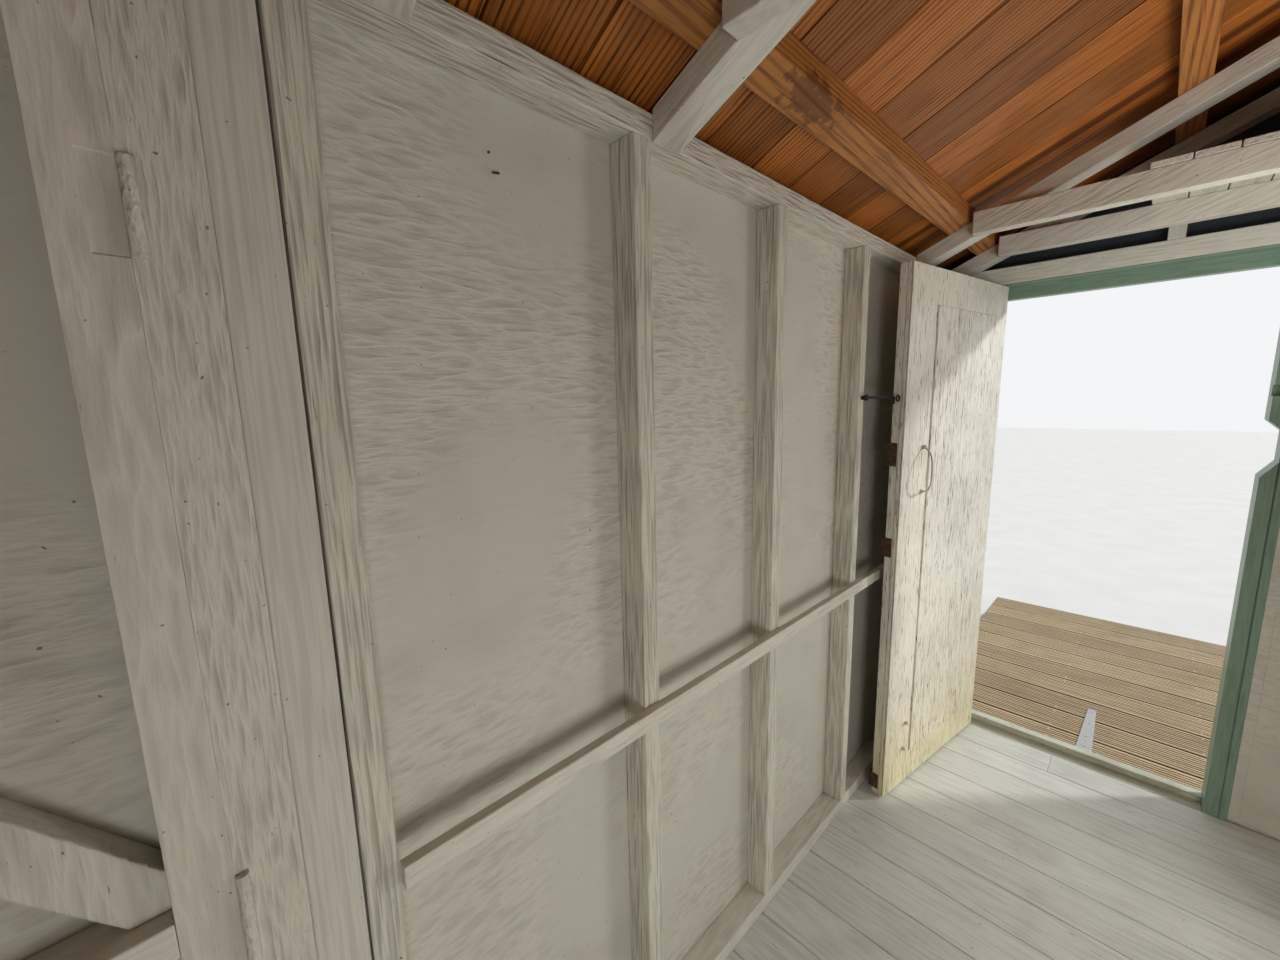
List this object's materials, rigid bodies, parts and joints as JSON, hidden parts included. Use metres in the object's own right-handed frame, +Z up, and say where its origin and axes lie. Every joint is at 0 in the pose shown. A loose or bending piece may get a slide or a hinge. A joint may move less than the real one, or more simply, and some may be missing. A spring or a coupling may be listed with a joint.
{
  "type": "timber beach hut with gabled roof",
  "caption": "Timber beach hut with a gabled roof, an open front door, a small front window and a fold-up deck flap at the sill.",
  "frame": {"origin": "on the ground, at the middle of the hut's and deck's footprint", "axes": "+Z up, -Y out of the front door, +X towards the wall on which the door hangs"},
  "size_m": [2.328, 5.569, 2.6943],
  "materials": {
    "cream_paint": "brushed off-white paint, flaking",
    "sage_paint": "worn satin paint",
    "stained_wood": "stained softwood with strong grain",
    "floor_paint": "trodden white floor paint",
    "deck_timber": "grooved decking, weathered",
    "bearer_timber": "tarred softwood",
    "felt": "mineral roofing felt",
    "pane_glass": "clear",
    "black_iron": "black, satin",
    "old_steel": "rusted",
    "galvanised": "galvanised",
    "rope": "painted cotton rope"
  },
  "bodies": {
    "hut": {"left_wall": "cream_paint", "right_wall": "cream_paint", "back_wall": "cream_paint", "front_gable": "cream_paint", "front_wall_left": "cream_paint", "front_pier": "cream_paint", "window_apron": "cream_paint", "front_wall_right": "cream_paint", "front_plate": "cream_paint", "gable_studs": "cream_paint", "sole_plates": "cream_paint", "wall_plates": "cream_paint", "left_studs": "cream_paint", "right_studs": "cream_paint", "back_studs": "cream_paint", "planed_post": "cream_paint", "hinge_post": "cream_paint", "shutter_post": "cream_paint", "post_hinges": "cream_paint", "mid_rails": "cream_paint", "corner_noggin": "cream_paint", "corner_brace": "cream_paint", "front_truss": "cream_paint", "loft_truss": "cream_paint", "middle_truss": "cream_paint", "post_truss": "cream_paint", "back_truss": "cream_paint", "loft_boards": "cream_paint", "left_jamb": "sage_paint", "right_jamb": "sage_paint", "door_head": "sage_paint", "door_sill": "sage_paint", "window_frame": "sage_paint", "eaves_boards": "sage_paint", "barge_boards": "sage_paint", "corner_boards": "sage_paint", "front_trim_board": "sage_paint", "front_skirt_board": "sage_paint", "purlins": "stained_wood", "ridge_board": "stained_wood", "left_roof_boards": "stained_wood", "right_roof_boards": "stained_wood", "floor": "floor_paint", "floor_bearers": "bearer_timber", "roof_felt": "felt", "window_panes": "pane_glass", "hook_bracket": "black_iron", "hinge_plates": "galvanised"},
    "front_door": {"door_frame": "cream_paint", "door_panel": "cream_paint", "door_hinges": "old_steel", "door_fittings": "old_steel", "hook_eye": "black_iron", "rope_pull": "rope", "rope_knots": "rope"},
    "hook": {"cabin_hook": "black_iron"},
    "deck": {"deck_boards": "deck_timber", "deck_joists": "deck_timber", "deck_feet": "deck_timber", "deck_hinges": "galvanised"}
  },
  "joints": [
    {"name": "front_door_swing", "type": "hinge", "parent": "hut", "child": "front_door", "pos_m": [0.8, -0.8645, 1.147], "axis": [0, 0, 1], "range_deg": [0, 99.07]},
    {"name": "cabin_hook_lift", "type": "hinge", "parent": "hut", "child": "hook", "pos_m": [0.951, 0.0495, 1.677], "axis": [-0.9671, 0.2544, 0], "range_deg": [0, 75]},
    {"name": "deck_fold", "type": "hinge", "parent": "hut", "child": "deck", "pos_m": [0, -0.9789, 0.14], "axis": [-1, 0, 0], "range_deg": [0, 90]}
  ]
}
